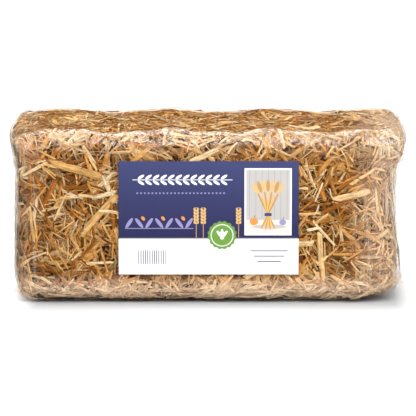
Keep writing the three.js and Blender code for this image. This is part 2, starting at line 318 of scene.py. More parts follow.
def end_bulge(height, side):
    """How far the end face stands out from half the bale's length, on the left where side is negative."""
    depth = np.where(side < 0, WAIST_DEPTH[-1], WAIST_DEPTH[1])
    share = np.clip(height / BALE_HEIGHT, 0, 1)
    drawn_in = smooth(share, WAIST_SHARES["start"], WAIST_SHARES["deep"])
    released = smooth(share, WAIST_SHARES["leave"], WAIST_SHARES["end"])
    flared = smooth(share, FLARE_SHARES["start"], FLARE_SHARES["full"])
    return TOP_FLARE * flared - depth * drawn_in * (1 - released)


def loose_share(points, normals):
    """0 under the label and on the underside, where the surface stays flat, and 1 elsewhere."""
    beside = np.abs(points[:, 0] - LABEL_MIDDLE_X) - label_size.x / 2
    above = np.abs(points[:, 2] - LABEL_BOTTOM - label_size.z / 2) - label_size.z / 2
    outside_label = smooth(np.maximum(beside, above), *LUMP_FADE)
    on_front = np.maximum(0, -normals[:, 1])
    on_underside = np.maximum(0, -normals[:, 2])
    return (1 - on_front * (1 - outside_label)) * (1 - on_underside)


def lump(points):
    x, y, z = points.T
    turn = 2 * math.pi / LUMP_LENGTH
    broad = np.sin(turn * x + 0.9) * np.cos(turn * (y + 0.6 * z))
    fine = np.sin(2.3 * turn * x + 2 * z * turn) * np.sin(1.9 * turn * (z - y) + 1.3)
    return LUMP_HEIGHT * (0.75 * broad + 0.45 * fine)


def bale_form(points, normals, out, slack=0.0):
    """Moves points of the plain rounded box on to the bale's form, and then out along their normals."""
    shaped = points.copy()
    shaped[:, 0] += points[:, 0] / HALF[0] * end_bulge(points[:, 2], points[:, 0]) - slack
    towards_end = smooth(shaped[:, 0], HALF[0] - CORNER_LIFT_LENGTH, HALF[0])
    lift = towards_end * (1 - smooth(shaped[:, 2], 0, BALE_HEIGHT / 2))
    height = lump(points) * loose_share(points, normals) + out
    shaped += normals * height[:, None]
    shaped[:, 2] += CORNER_LIFT * lift
    return shaped + form_shift


def end_slack(points):
    """How far along X the straw stands back from the film, on points of the plain rounded box."""
    inset = np.where(points[:, 0] < 0, -END_SLACK[-1], END_SLACK[1])
    near_end = smooth(np.abs(points[:, 0]), HALF[0] - SLACK_REACH, HALF[0])
    return inset * near_end * (1 - smooth(points[:, 2], *SLACK_HEIGHTS))


def rounded_box(step):
    """Points, normals and faces of the plain rounded box, on a grid of about that step."""
    lines = []
    for k in range(3):
        inner = np.linspace(-CORE[k], CORE[k], round(2 * CORE[k] / step) + 1)
        turns = np.linspace(0, math.pi / 4, EDGE_STEPS + 1)[1:]
        edge = CORE[k] + EDGE_RADIUS * np.tan(turns)
        lines.append(np.concatenate([-edge[::-1], inner, edge]))
    corners = []
    faces = []
    for k in range(3):
        a, b = (k + 1) % 3, (k + 2) % 3
        for side in (-1, 1):
            grid = np.zeros((len(lines[a]), len(lines[b]), 3))
            grid[:, :, a] = lines[a][:, None]
            grid[:, :, b] = lines[b][None, :]
            grid[:, :, k] = side * HALF[k]
            index = np.arange(grid[:, :, 0].size).reshape(grid.shape[:2]) + sum(map(len, corners))
            quads = [index[:-1, :-1], index[1:, :-1], index[1:, 1:], index[:-1, 1:]]
            faces.append(np.stack(quads[::side], axis=-1).reshape(-1, 4))
            corners.append(grid.reshape(-1, 3))
    corners, merged = np.unique(np.round(np.concatenate(corners), 7), axis=0, return_inverse=True)
    nearest = np.clip(corners, -CORE, CORE)
    normals = corners - nearest
    normals /= np.linalg.norm(normals, axis=1)[:, None]
    points = nearest + normals * EDGE_RADIUS
    points[:, 2] += HALF[2]
    return points, normals, merged.reshape(-1)[np.concatenate(faces)]


def heart_material():
    material, tree, surface, place = new_material("painted_shade_heart")
    clumps = put_noise(tree, place, HEART_CLUMPS_PER_METRE, 4.0)
    ramp = put_node(tree, "ShaderNodeValToRGB", {"Fac": clumps})
    for stop, (position, colour) in zip(ramp.color_ramp.elements, HEART_SHADE_TONES):
        stop.position = position
        stop.color = colour
    inputs = {"Base Color": ramp.outputs["Color"], "Normal": put_bump(tree, clumps, 0.001), "Roughness": 0.9}
    paint = put_node(tree, "ShaderNodeBsdfPrincipled", inputs)
    tree.links.new(paint.outputs[0], surface)
    return material


def straw_heart():
    points, normals, faces = rounded_box(HEART_STEP)
    rough = np.array([noise.noise(Vector(point) * HEART_ROUGHS_PER_METRE) for point in points])
    placed = bale_form(points, normals, HEART_ROUGHNESS * rough - HEART_INSET, end_slack(points))
    heart = mesh_object("straw_heart", placed, faces, heart_material())
    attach(heart, "root")
    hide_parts("pressed_straw")


straw_heart()


# The chopped straw: barley stems and leaves cut to a few centimetres and split by the press, so most of them
# are shallow gutters and flat strips, with slivers between. They lie flat, this way and that, and those at
# the edges are bent round them by the film. Each side of the bale is laid flat, then bent over the form.
FILM_GAP = 0.0006
SIDES = {
    "front": ((1, 0, 0), (0, 0, 1), (0, -1, 0)),
    "back": ((-1, 0, 0), (0, 0, 1), (0, 1, 0)),
    "top": ((1, 0, 0), (0, 1, 0), (0, 0, 1)),
    "underside": ((1, 0, 0), (0, -1, 0), (0, 0, -1)),
    "left_end": ((0, -1, 0), (0, 0, 1), (-1, 0, 0)),
    "right_end": ((0, 1, 0), (0, 0, 1), (1, 0, 0)),
}
# Kinds of straw: the length and width of the longest, its wall, the arc of its section in radians, and the
# steps along it and across it.
STRAW_KINDS = {
    "split_stem": {"length": 0.033, "width": 0.0047, "wall": 0.0004, "arc": 1.3, "rings": 4, "across": 4},
    "strip": {"length": 0.024, "width": 0.0026, "wall": 0.0003, "arc": 1.0, "rings": 3, "across": 2},
    "sliver": {"length": 0.019, "width": 0.0011, "wall": 0.0003, "arc": 0.8, "rings": 3, "across": 1},
    "foot_strip": {"length": 0.030, "width": 0.0040, "wall": 0.0003, "arc": 0.5, "rings": 3, "across": 2},
}
# How each kind lies: how many to a square centimetre, how deep under the film at least and at most, and the
# shortest's share of the longest.
STRAW_LIES = {
    "split_stem": {"per_cm2": 1.1, "depths": (0.0004, 0.0046), "shortest": 0.5},
    "strip": {"per_cm2": 6.5, "depths": (0.0003, 0.0058), "shortest": 0.4},
    "sliver": {"per_cm2": 13.0, "depths": (0.0003, 0.0058), "shortest": 0.35},
    "foot_strip": {"per_cm2": 1.7, "depths": (0.0002, 0.0022), "shortest": 0.4},
}
STRAW_NARROWEST = 0.5
STRAW_TILT = 0.10
SIDE_DENSITY = {"front": 1.0, "back": 0.85, "top": 0.95, "underside": 0.4, "left_end": 0.9, "right_end": 0.9}
# The share of its depth to which the press and the film leave the straw of each side loose.
SIDE_LOOSENESS = {
    "front": 1.0,
    "back": 1.0,
    "top": 0.42,
    "underside": 0.8,
    "left_end": 0.9,
    "right_end": 0.8,
}
HOLLOW_DEPTH = 0.0030
# How far one straw of a kind differs from the next.
STRAW_SPREAD = {
    "arc": (0.6, 1.2),
    "bend": 0.03,
    "sag": 0.01,
    "twist": 0.3,
    "slant": 0.9,
    "taper": (0.45, 1.0),
}
# A thin straw's section is a wedge, this many walls deep in its middle.
WEDGE_DEPTH = 1.6
RIND_ROUGHNESS = 0.00002
VARIANTS = 9
STRAW_SEED = 41
# Along the foot, from this height against the middle of a side and up this far, straws lie along the edge,
# within this turn of it, and are pressed this much closer to the film. The foot's strips lie only there.
FOOT_HEIGHT = -0.062
FOOT_REACH = 0.014
FOOT_SPIN = 0.9
FOOT_PRESS = 0.35
FOOT_STRIP_SHARE = 0.35
NO_FOOT = -1.0
ANY_SHARE = -1.0
# Elsewhere straws lie in bunches, whose direction wanders round this many radians. Each straw lies within
# its own spin of its bunch.
BUNCHES_PER_METRE = 26.0
BUNCH_TURN = 16.0
OWN_SPIN = 0.95
HOLLOWS_PER_METRE = 52.0
HOLLOW_RANGE = (0.48, 0.72)
DEPTH_POWER = 0.8
TONE_PATCHES_PER_METRE = 38.0
TONE_PATCH_SHARE = 0.5
STRAW_COLOURS = [
    (0.0, (0.17, 0.045, 0.005)),
    (0.22, (0.40, 0.142, 0.020)),
    (0.5, (0.62, 0.290, 0.068)),
    (0.78, (0.73, 0.435, 0.158)),
    (1.0, (0.82, 0.64, 0.39)),
]
# Painted shade: deeper straw darkens towards this colour, for the shade in the gaps between stems.
DEPTH_SHADE_COLOUR = (0.050, 0.012, 0.001, 1.0)
# Between the first depth and the second, straw darkens by up to the last value.
DEPTH_SHADE_RANGE = (0.001, 0.0054, 0.0, 0.93)
# The straw is lighter along the foot, at the right-hand end and along the top front rim: from where, to
# where, and between which shares. Along the foot this is partly paler straw and partly painted light, at the
# right-hand end it is painted light, and along the top front rim it is a painted highlight, in patches.
PALE_AND_LIT_COLOUR = (0.90, 0.665, 0.455, 1.0)
RIM_HIGHLIGHT_COLOUR = (0.92, 0.78, 0.56, 1.0)
FOOT_PALE_AND_LIT = (0.027, 0.014, 0.0, 0.85)
RIGHT_END_LIGHT = (0.120, 0.165, 0.0, 0.75)
RIM_HIGHLIGHT_TOP = (0.122, 0.148, 0.0, 0.66)
RIM_HIGHLIGHT_FRONT = (-0.046, -0.055)
RIM_HIGHLIGHT_PATCHES_PER_METRE = 150.0
RIM_HIGHLIGHT_PATCH_RANGE = (0.36, 0.58)
# Light straws are lightened more than dark ones, and straw lightened along the foot and at the right-hand
# end gets less painted depth shade.
LIGHTENING_BY_TONE = (0.5, 0.62)
DEPTH_SHADE_EASING = -0.6
STREAK_SCALE = (45.0, 950.0, 950.0)
BLOTCH_SCALE = (190.0, 300.0, 300.0)
SHADE_RANGE = (0.3, 0.7)
BLOTCH_SHADES = (0.8, 1.15)
MOST_STREAK = 1.15
CHOPPED_STREAKS = 0.6


def keep_values(mesh, name, values):
    """Keeps a number or a vector for each point of the mesh, under that name."""
    values = np.asarray(values, np.float32)
    kind, field = ("FLOAT", "value") if values.ndim == 1 else ("FLOAT_VECTOR", "vector")
    mesh.attributes.new(name, kind, "POINT").data.foreach_set(field, values.ravel())


def straw_shape(kind, pick):
    """One closed straw along X, open side down, with its grain and its own height kept for each point."""
    size = STRAW_KINDS[kind]
    arc = size["arc"] * pick.uniform(*STRAW_SPREAD["arc"])
    radius = size["width"] / (2 * math.sin(min(arc, math.pi) / 2))
    turns = np.linspace(-arc / 2, arc / 2, size["across"] + 1)
    outer = [(radius * math.sin(t), radius * (math.cos(t) - 1)) for t in turns]
    inner = [(y, z - size["wall"]) for y, z in outer[-2:0:-1]]
    if size["across"] < 3:
        inner = [(0.0, -size["wall"] * WEDGE_DEPTH)]
    section = np.array(outer + inner)
    bend = pick.uniform(-STRAW_SPREAD["bend"], STRAW_SPREAD["bend"]) * size["length"]
    sag = pick.uniform(-STRAW_SPREAD["sag"], STRAW_SPREAD["sag"]) * size["length"]
    twist = pick.uniform(-STRAW_SPREAD["twist"], STRAW_SPREAD["twist"])
    slants = pick.uniform(-STRAW_SPREAD["slant"], STRAW_SPREAD["slant"], 2)
    taper = pick.uniform(*STRAW_SPREAD["taper"], 2)
    rings = []
    grain = []
    for ring in range(size["rings"] + 1):
        share = ring / size["rings"]
        end = 0 if share < 0.5 else 1
        narrow = 1 - (1 - taper[end]) * abs(2 * share - 1) ** 3
        arch = 4 * share * (1 - share)
        turn = twist * (share - 0.5)
        points = []
        for y, z in section * narrow:
            x = (share - 0.5) * size["length"]
            if ring in (0, size["rings"]):
                x += slants[end] * y
            turned_y = y * math.cos(turn) - z * math.sin(turn)
            turned_z = y * math.sin(turn) + z * math.cos(turn)
            points.append((x, turned_y + bend * arch, turned_z + sag * arch))
            grain.append((x, y, pick.uniform(-RIND_ROUGHNESS, RIND_ROUGHNESS)))
        rings.append(points)
    places, faces = loft(rings)
    mesh = bpy.data.meshes.new(kind)
    mesh.from_pydata(places.tolist(), [], faces)
    keep_values(mesh, "grain", grain)
    keep_values(mesh, "rise", places[:, 2])
    return bpy.data.objects.new(kind, mesh)


def straw_collections():
    pick = np.random.default_rng(STRAW_SEED)
    made = {}
    for kind in STRAW_KINDS:
        made[kind] = bpy.data.collections.new(kind + "_shapes")
        for _ in range(VARIANTS):
            made[kind].objects.link(straw_shape(kind, pick))
    return made


def new_geometry_tree(name, inputs):
    """An empty Geometry Nodes tree with these named inputs, and its input's sockets."""
    tree = bpy.data.node_groups.new(name, "GeometryNodeTree")
    tree.interface.new_socket("Geometry", in_out="INPUT", socket_type="NodeSocketGeometry")
    tree.interface.new_socket("Geometry", in_out="OUTPUT", socket_type="NodeSocketGeometry")
    for label, kind in inputs.items():
        tree.interface.new_socket(label, in_out="INPUT", socket_type="NodeSocket" + kind)
    return tree, tree.nodes.new("NodeGroupInput").outputs


def put_random(tree, low, high, seed):
    inputs = {2: low, 3: high, "Seed": seed}
    return put_node(tree, "FunctionNodeRandomValue", inputs, data_type="FLOAT").outputs[1]


def put_attribute(tree, geometry, name, value):
    inputs = {"Geometry": geometry, "Name": name, "Value": value}
    made = put_node(tree, "GeometryNodeStoreNamedAttribute", inputs, data_type="FLOAT", domain="POINT")
    return made.outputs["Geometry"]


def laid_straw_tree():
    """Scatters straws over a flat sheet: each has its turn, its size, its depth under the film and its tone.

    Near the foot they lie along the edge, pressed closer to the film.
    """
    numbers = ("Density", "Shallowest", "Deepest", "Hollows", "Shortest", "Narrowest", "Tilt")
    numbers += ("Foot", "Foot reach", "Least foot share")
    inputs = {"Straws": "Collection", "Material": "Material", "Seed": "Int"}
    inputs.update(dict.fromkeys(numbers, "Float"))
    tree, given = new_geometry_tree("laid_straws", inputs)
    scatter_inputs = {"Mesh": given["Geometry"], "Density": given["Density"], "Seed": given["Seed"]}
    scatter = put_node(tree, "GeometryNodeDistributePointsOnFaces", scatter_inputs)
    place = put_node(tree, "GeometryNodeInputPosition").outputs[0]

    bunch_turn = put_product(tree, put_noise(tree, place, BUNCHES_PER_METRE, 1.0), BUNCH_TURN)
    foot_top = put_maths(tree, "ADD", given["Foot"], given["Foot reach"])
    foot_share = put_range(tree, put_parts(tree, place)[1], foot_top, given["Foot"])
    free_spin = put_maths(tree, "ADD", bunch_turn, put_random(tree, -OWN_SPIN, OWN_SPIN, 1))
    loose = put_maths(tree, "SUBTRACT", 1.0, foot_share)
    foot_spin = put_product(tree, put_random(tree, -FOOT_SPIN, FOOT_SPIN, 8), foot_share)
    spin = put_maths(tree, "MULTIPLY_ADD", free_spin, loose, foot_spin)
    tilt_low = put_product(tree, given["Tilt"], -1.0)
    tilt_roll = put_random(tree, tilt_low, given["Tilt"], 2)
    tilt_rise = put_random(tree, tilt_low, given["Tilt"], 3)
    angles = put_node(tree, "ShaderNodeCombineXYZ", {0: tilt_roll, 1: tilt_rise, 2: spin}).outputs[0]
    turned = put_node(tree, "FunctionNodeEulerToRotation", {0: angles}).outputs[0]

    hollow_share = put_range(tree, put_noise(tree, place, HOLLOWS_PER_METRE), *HOLLOW_RANGE)
    hollow_depth = put_product(tree, hollow_share, given["Hollows"])
    chance = put_maths(tree, "POWER", put_random(tree, 0.0, 1.0, 4), DEPTH_POWER)
    span = put_maths(tree, "SUBTRACT", given["Deepest"], given["Shallowest"])
    own_depth = put_maths(tree, "MULTIPLY_ADD", chance, span, given["Shallowest"])
    free_lay = put_maths(tree, "ADD", own_depth, hollow_depth)
    pressed = put_maths(tree, "MULTIPLY_ADD", foot_share, -FOOT_PRESS, 1.0)
    lay = put_product(tree, free_lay, pressed)

    patch = put_noise(tree, place, TONE_PATCHES_PER_METRE)
    patch_tone = put_maths(tree, "MULTIPLY_ADD", patch, TONE_PATCH_SHARE, -TONE_PATCH_SHARE / 2)
    tone = put_maths(tree, "ADD", patch_tone, put_random(tree, 0.0, 1.0, 5), clamp=True)
    width = put_random(tree, given["Narrowest"], 1.0, 6)
    length = put_random(tree, given["Shortest"], 1.0, 7)

    points = put_attribute(tree, scatter.outputs["Points"], "lay", lay)
    points = put_attribute(tree, points, "tone", tone)
    points = put_attribute(tree, points, "thick", width)
    sunk = put_node(tree, "ShaderNodeCombineXYZ", {2: put_product(tree, lay, -1.0)}).outputs[0]
    lowered = put_node(tree, "GeometryNodeSetPosition", {"Geometry": points, "Offset": sunk})
    size = put_node(tree, "ShaderNodeCombineXYZ", {0: length, 1: width, 2: width}).outputs[0]
    shape_inputs = {"Collection": given["Straws"], "Separate Children": True, "Reset Children": True}
    shapes = put_node(tree, "GeometryNodeCollectionInfo", shape_inputs)
    copy_inputs = {
        "Points": lowered.outputs[0],
        "Instance": shapes.outputs[0],
        "Selection": put_maths(tree, "GREATER_THAN", foot_share, given["Least foot share"]),
        "Pick Instance": True,
        "Rotation": turned,
        "Scale": size,
    }
    copies = put_node(tree, "GeometryNodeInstanceOnPoints", copy_inputs)
    real = put_node(tree, "GeometryNodeRealizeInstances", {"Geometry": copies.outputs[0]})
    paint_inputs = {"Geometry": real.outputs[0], "Material": given["Material"]}
    painted = put_node(tree, "GeometryNodeSetMaterial", paint_inputs)
    put_node(tree, "NodeGroupOutput", {"Geometry": painted.outputs[0]})
    return tree


def straw_material(name, colours, streak_share):
    """Dry straw: a tone for each stem, streaks along it, and a satin rind. colours run from dark to pale."""
    material, tree, surface, place = new_material(name)
    tone = put_node(tree, "ShaderNodeAttribute", attribute_name="tone").outputs["Fac"]
    lay = put_node(tree, "ShaderNodeAttribute", attribute_name="lay").outputs["Fac"]
    grain = put_node(tree, "ShaderNodeAttribute", attribute_name="grain").outputs["Vector"]
    ramp = put_node(tree, "ShaderNodeValToRGB", {"Fac": tone})
    stops = ramp.color_ramp.elements
    while len(stops) < len(colours):
        stops.new(0.5)
    for stop, (position, colour) in zip(stops, colours):
        stop.position = position
        stop.color = (*colour, 1.0)

    own = put_node(tree, "ShaderNodeCombineXYZ", {0: put_product(tree, tone, 7.0)}).outputs[0]
    fine_place = put_vector_maths(tree, "MULTIPLY", grain, STREAK_SCALE)
    streaks = put_noise(tree, put_vector_maths(tree, "ADD", fine_place, own), 1.0, 3.0)
    blotch_place = put_vector_maths(tree, "MULTIPLY", grain, BLOTCH_SCALE)
    blotches = put_noise(tree, put_vector_maths(tree, "ADD", blotch_place, own), 1.0)
    streak_shade = put_range(tree, streaks, *SHADE_RANGE, 1 - streak_share, MOST_STREAK)
    shade = put_product(tree, streak_shade, put_range(tree, blotches, *SHADE_RANGE, *BLOTCH_SHADES))

    x, y, z = put_parts(tree, place)
    # Painted highlight along the top front rim, in patches.
    rim_highlight_patches = put_range(tree, put_noise(tree, place, RIM_HIGHLIGHT_PATCHES_PER_METRE), *RIM_HIGHLIGHT_PATCH_RANGE)
    rim_highlight = put_product(tree, put_range(tree, z, *RIM_HIGHLIGHT_TOP), put_range(tree, y, *RIM_HIGHLIGHT_FRONT), rim_highlight_patches)
    # Along the foot paler straw and painted light, and at the right-hand end painted light.
    pale_and_lit_share = put_maths(tree, "MAXIMUM", put_range(tree, z, *FOOT_PALE_AND_LIT), put_range(tree, x, *RIGHT_END_LIGHT))
    depth_shade_kept = put_maths(tree, "MULTIPLY_ADD", pale_and_lit_share, DEPTH_SHADE_EASING, 1.0)
    pale_and_lit_share = put_maths(tree, "MAXIMUM", pale_and_lit_share, rim_highlight)
    by_tone = put_maths(tree, "MULTIPLY_ADD", tone, *LIGHTENING_BY_TONE)
    pale_and_lit_share = put_maths(tree, "MULTIPLY", pale_and_lit_share, by_tone, clamp=True)
    pale = put_mix(tree, rim_highlight, PALE_AND_LIT_COLOUR, RIM_HIGHLIGHT_COLOUR)
    paled = put_mix(tree, pale_and_lit_share, ramp.outputs["Color"], pale)
    shaded = put_node(tree, "ShaderNodeVectorMath", {0: paled, "Scale": shade}, operation="SCALE")
    # Painted shade: straw deeper under the film darkens towards the shade colour.
    depth_shade_share = put_product(tree, put_range(tree, lay, *DEPTH_SHADE_RANGE), depth_shade_kept)
    paint_inputs = {
        "Base Color": put_mix(tree, depth_shade_share, shaded.outputs[0], DEPTH_SHADE_COLOUR),
        "Normal": put_bump(tree, streaks, 0.00025, 0.6),
        "Roughness": 0.5,
        "Specular IOR Level": 0.06,
    }
    paint = put_node(tree, "ShaderNodeBsdfPrincipled", paint_inputs)
    tree.links.new(paint.outputs[0], surface)
    return material


def roll_over(side, flat):
    """Bends flat points (along, up, out of the side) over the bale's form. out is 0 just under the film."""
    along, up, out = (np.array(direction, float) for direction in SIDES[side])
    reach = np.array([CORE @ np.abs(along), CORE @ np.abs(up)])
    kept = np.clip(flat[:, :2], -reach, reach)
    over = flat[:, :2] - kept
    length = np.linalg.norm(over, axis=1)
    heading = over / np.maximum(length, 1e-9)[:, None]
    turn = np.minimum(length / EDGE_RADIUS, math.pi / 2)
    past = np.maximum(0, length - EDGE_RADIUS * math.pi / 2)
    sideways = heading * np.sin(turn)[:, None]
    normals = sideways[:, :1] * along + sideways[:, 1:] * up + np.cos(turn)[:, None] * out
    points = kept[:, :1] * along + kept[:, 1:] * up + (CORE @ np.abs(out)) * out
    points = points + normals * EDGE_RADIUS - past[:, None] * out
    points[:, 2] += HALF[2]
    return bale_form(points, normals, flat[:, 2] - FILM_GAP, end_slack(points))


def read_attribute(mesh, name):
    values = np.zeros(len(mesh.vertices), np.float32)
    mesh.attributes[name].data.foreach_get("value", values)
    return values.astype(float)


def press_and_roll(mesh, side):
    """Presses each straw down to its own depth under the film, and bends the flat side over the form."""
    flat = np.zeros(len(mesh.vertices) * 3, np.float32)
    mesh.vertices.foreach_get("co", flat)
    flat = flat.reshape(-1, 3).astype(float)
    rise = read_attribute(mesh, "rise") * read_attribute(mesh, "thick")
    spine = np.minimum(flat[:, 2] - rise, -read_attribute(mesh, "lay"))
    flat[:, 2] = np.minimum(spine + rise, 0)
    mesh.vertices.foreach_set("co", roll_over(side, flat).astype(np.float32).ravel())
    mesh.update()


def lay_straws(name, side, tree, values):
    """Runs the tree on a flat sheet of the side's size, and bends the straws over the side."""
    along, up, _ = (np.abs(direction) for direction in SIDES[side])
    half_edge = EDGE_RADIUS * math.pi / 4
    across = CORE @ along + half_edge
    height = CORE @ up + half_edge
    corners = [(-across, -height, 0), (across, -height, 0), (across, height, 0), (-across, height, 0)]
    sheet = mesh_object(name + "_sheet", corners, [(0, 1, 2, 3)])
    modifier = sheet.modifiers.new("laid_straws", "NODES")
    modifier.node_group = tree
    for item in tree.interface.items_tree:
        if item.in_out == "INPUT" and item.name in values:
            modifier[item.identifier] = values[item.name]
    piece = worked_out(sheet, name)
    press_and_roll(piece.data, side)
    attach(piece, "root")


straw_shapes = straw_collections()
straw_tree = laid_straw_tree()
chopped_straw = straw_material("chopped_straw", STRAW_COLOURS, CHOPPED_STREAKS)
for side_number, side_name in enumerate(SIDES):
    for kind_number, (kind_name, lies) in enumerate(STRAW_LIES.items()):
        loose = SIDE_LOOSENESS[side_name]
        has_foot = SIDES[side_name][1] == (0, 0, 1)
        only_foot = kind_name == "foot_strip"
        if only_foot and not has_foot:
            continue
        straw_values = {
            "Straws": straw_shapes[kind_name],
            "Material": chopped_straw,
            "Density": lies["per_cm2"] * 1e4 * SIDE_DENSITY[side_name],
            "Seed": STRAW_SEED + 10 * side_number + kind_number,
            "Shallowest": lies["depths"][0],
            "Deepest": lies["depths"][1] * loose,
            "Hollows": 0.0 if only_foot else HOLLOW_DEPTH * loose,
            "Least foot share": FOOT_STRIP_SHARE if only_foot else ANY_SHARE,
            "Shortest": lies["shortest"],
            "Narrowest": STRAW_NARROWEST,
            "Tilt": STRAW_TILT,
            "Foot": FOOT_HEIGHT if has_foot else NO_FOOT,
            "Foot reach": FOOT_REACH,
        }
        lay_straws(f"{kind_name}s_{side_name}", side_name, straw_tree, straw_values)


# The broad stems: the widest split stems, which lie loose on the pressed straw just under the film. Each is
# a shallow gutter of pale, glossy rind with frayed ends, split from a whole stem by the press.
BROAD_SIDES = {"front": "front", "back": "back", "top": "top", "left": "left_end", "right": "right_end"}
BROAD_LAY = (0.0003, 0.0010)
BROAD_WALL = 0.00045
BROAD_INNER_SHARE = 0.94
BROAD_ARC = (0.9, 1.7)
BROAD_RINGS = 16
BROAD_POINTS = 8
BROAD_TONE = (0.1, 0.9)
BROAD_FRAY = 0.0011
BROAD_BEND = 0.04
BROAD_TWIST = 0.35
BROAD_SLANT = 0.8
BROAD_TAPER = (0.7, 1.0)
# Each stem has a joint between these shares of its length, and none where the share is over 1. The joint
# swells the stem by this share, over this length.
JOINT_SHARES = (0.2, 1.6)
JOINT_SWELL = 0.14
JOINT_LENGTH = 0.0012
BROAD_STREAKS = 0.55
BROAD_SEED = 7
BROAD_COLOURS = [
    (0.0, (0.52, 0.27, 0.075)),
    (0.5, (0.70, 0.43, 0.165)),
    (1.0, (0.84, 0.63, 0.36)),
]


def broad_place(node, side):
    """Where a stem lies on its flat side: its middle, the way it points, its length and its width."""
    along, up, _ = (np.array(direction, float) for direction in SIDES[side])
    corners = np.array([node.matrix_world @ vertex.co for vertex in node.data.vertices])
    middle = (corners.min(axis=0) + corners.max(axis=0)) / 2
    flat = np.stack([(corners - middle) @ along, (corners - middle) @ up], axis=1)
    spread, ways = np.linalg.eigh(flat.T @ flat)
    axis = ways[:, np.argmax(spread)]
    length = np.ptp(flat @ axis)
    width = np.ptp(flat @ np.array([-axis[1], axis[0]]))
    offset = middle - form_shift
    offset[2] -= HALF[2]
    return (offset @ along, offset @ up), math.atan2(axis[1], axis[0]), length, width


def broad_stem(name, side, pick):
    (across, upwards), spin, length, width = broad_place(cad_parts[name], side)
    arc = pick.uniform(*BROAD_ARC)
    radius = width / (2 * math.sin(arc / 2))
    turns = np.linspace(-arc / 2, arc / 2, BROAD_POINTS + 1)
    outer = [(radius * math.sin(t), radius * (math.cos(t) - 1)) for t in turns]
    section = outer + [(y * BROAD_INNER_SHARE, z - BROAD_WALL) for y, z in outer[::-1]]
    bend = pick.uniform(-BROAD_BEND, BROAD_BEND) * length
    twist = pick.uniform(-BROAD_TWIST, BROAD_TWIST)
    slants = pick.uniform(-BROAD_SLANT, BROAD_SLANT, 2)
    frays = pick.uniform(-BROAD_FRAY, BROAD_FRAY, (2, BROAD_POINTS + 1))
    taper = pick.uniform(*BROAD_TAPER, 2)
    joint = pick.uniform(*JOINT_SHARES)
    rings = []
    grain = []
    for ring in range(BROAD_RINGS + 1):
        share = ring / BROAD_RINGS
        end = 0 if share < 0.5 else 1
        narrow = 1 - (1 - taper[end]) * abs(2 * share - 1) ** 2
        swell = 1 + JOINT_SWELL * math.exp(-(((share - joint) * length / JOINT_LENGTH) ** 2))
        turn = twist * (share - 0.5)
        points = []
        for k, (y, z) in enumerate(section):
            y, z = y * narrow * swell, z * narrow * swell
            x = (share - 0.5) * length
            if ring in (0, BROAD_RINGS):
                x += slants[end] * y + frays[end][min(k, 2 * BROAD_POINTS + 1 - k)]
            turned_y = y * math.cos(turn) - z * math.sin(turn) + bend * 4 * share * (1 - share)
            turned_z = y * math.sin(turn) + z * math.cos(turn)
            points.append((x, turned_y, min(turned_z, 0.0)))
            grain.append((x, y, 0.0))
        rings.append(points)
    points, faces = loft(rings)
    lay = pick.uniform(*BROAD_LAY)
    flat = np.empty_like(points)
    flat[:, 0] = across + points[:, 0] * math.cos(spin) - points[:, 1] * math.sin(spin)
    flat[:, 1] = upwards + points[:, 0] * math.sin(spin) + points[:, 1] * math.cos(spin)
    flat[:, 2] = points[:, 2] - lay
    stem = mesh_object(name.replace("straw", "stem"), roll_over(side, flat), faces, broad_straw)
    keep_values(stem.data, "tone", [pick.uniform(*BROAD_TONE)] * len(points))
    keep_values(stem.data, "lay", [lay] * len(points))
    keep_values(stem.data, "grain", grain)
    for polygon in stem.data.polygons:
        polygon.use_smooth = len(polygon.vertices) == 4
    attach(stem, "root")
    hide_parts(name)


broad_straw = straw_material("broad_straw", BROAD_COLOURS, BROAD_STREAKS)
broad_pick = np.random.default_rng(BROAD_SEED)
for node_name in sorted(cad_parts):
    if node_name.startswith("broad_straw_"):
        broad_stem(node_name, BROAD_SIDES[node_name.split("_")[2]], broad_pick)


# The film: one clear shrink film round the bale, closed by a long weld on the top near the back and by a
# trimmed fin up each end. It is tight over the straw and slack at the waist of the ends, with dog ears of
# spare film at four corners and two vent holes punched in the back.
FILM_WALL = 0.0003
FILM_STEP = 0.0026
RIPPLE_HEIGHT = 0.0005
RIPPLES_PER_METRE = 105.0
PLEAT_HEIGHT = 0.0007
PLEAT_PITCH = 0.0085
PUCKER_HEIGHT = 0.0004
PUCKER_PITCH = 0.0052
PUCKER_REACH = 0.007
WANDER_PER_METRE = 30.0
FIN_ROOT = 0.003
FIN_WIDTH = 0.004
FIN_STEPS = 90
FIN_END_SHARE = 0.06
FIN_ROUNDING = 0.4
FIN_WAVE = 0.0013
FIN_WAVE_LENGTH = 0.027
SEAM_FROM_BACK = 0.026
SEAM_RADIUS = 0.0007
SEAM_STEPS = 160
SEAM_WAVE = 0.0005
EAR_LENGTH = 0.011
EAR_RADIUS = 0.006
EAR_FLATNESS = 0.2
EAR_STEPS = 7
EAR_SIDES = 18
EAR_PLEATS = 6
EAR_PLEAT_DEPTH = 0.35
EAR_LEAN = (1.0, 0.35, 0.45)
EAR_ROOT = {"x": 0.55, "y": 0.7, "top": 0.7, "bottom": 0.9}
VENT_RADIUS = 0.003
VENT_SPACING = 0.180
# The film turns milky from the first place to the second, along X at each end and down to the foot, and it
# whitens where seen edge-on. At the ends this is partly the slack film's haze and partly a painted
# reflection of the white sheet; along the foot and edge-on it is a painted reflection.
LEFT_END_HAZE_AND_REFLECTION = (-0.138, -0.170, 0.0, 0.08)
RIGHT_END_HAZE_AND_REFLECTION = (0.115, 0.166, 0.0, 0.08)
FOOT_PAINTED_REFLECTION = (0.024, 0.004, 0.0, 0.02)
EDGE_ON_PAINTED_REFLECTION = 0.12
EDGE_POWER = 14.0
MILK_CLOUDS_PER_METRE = 34.0
MILK_CLOUDS = (0.35, 0.68, 0.35, 1.6)
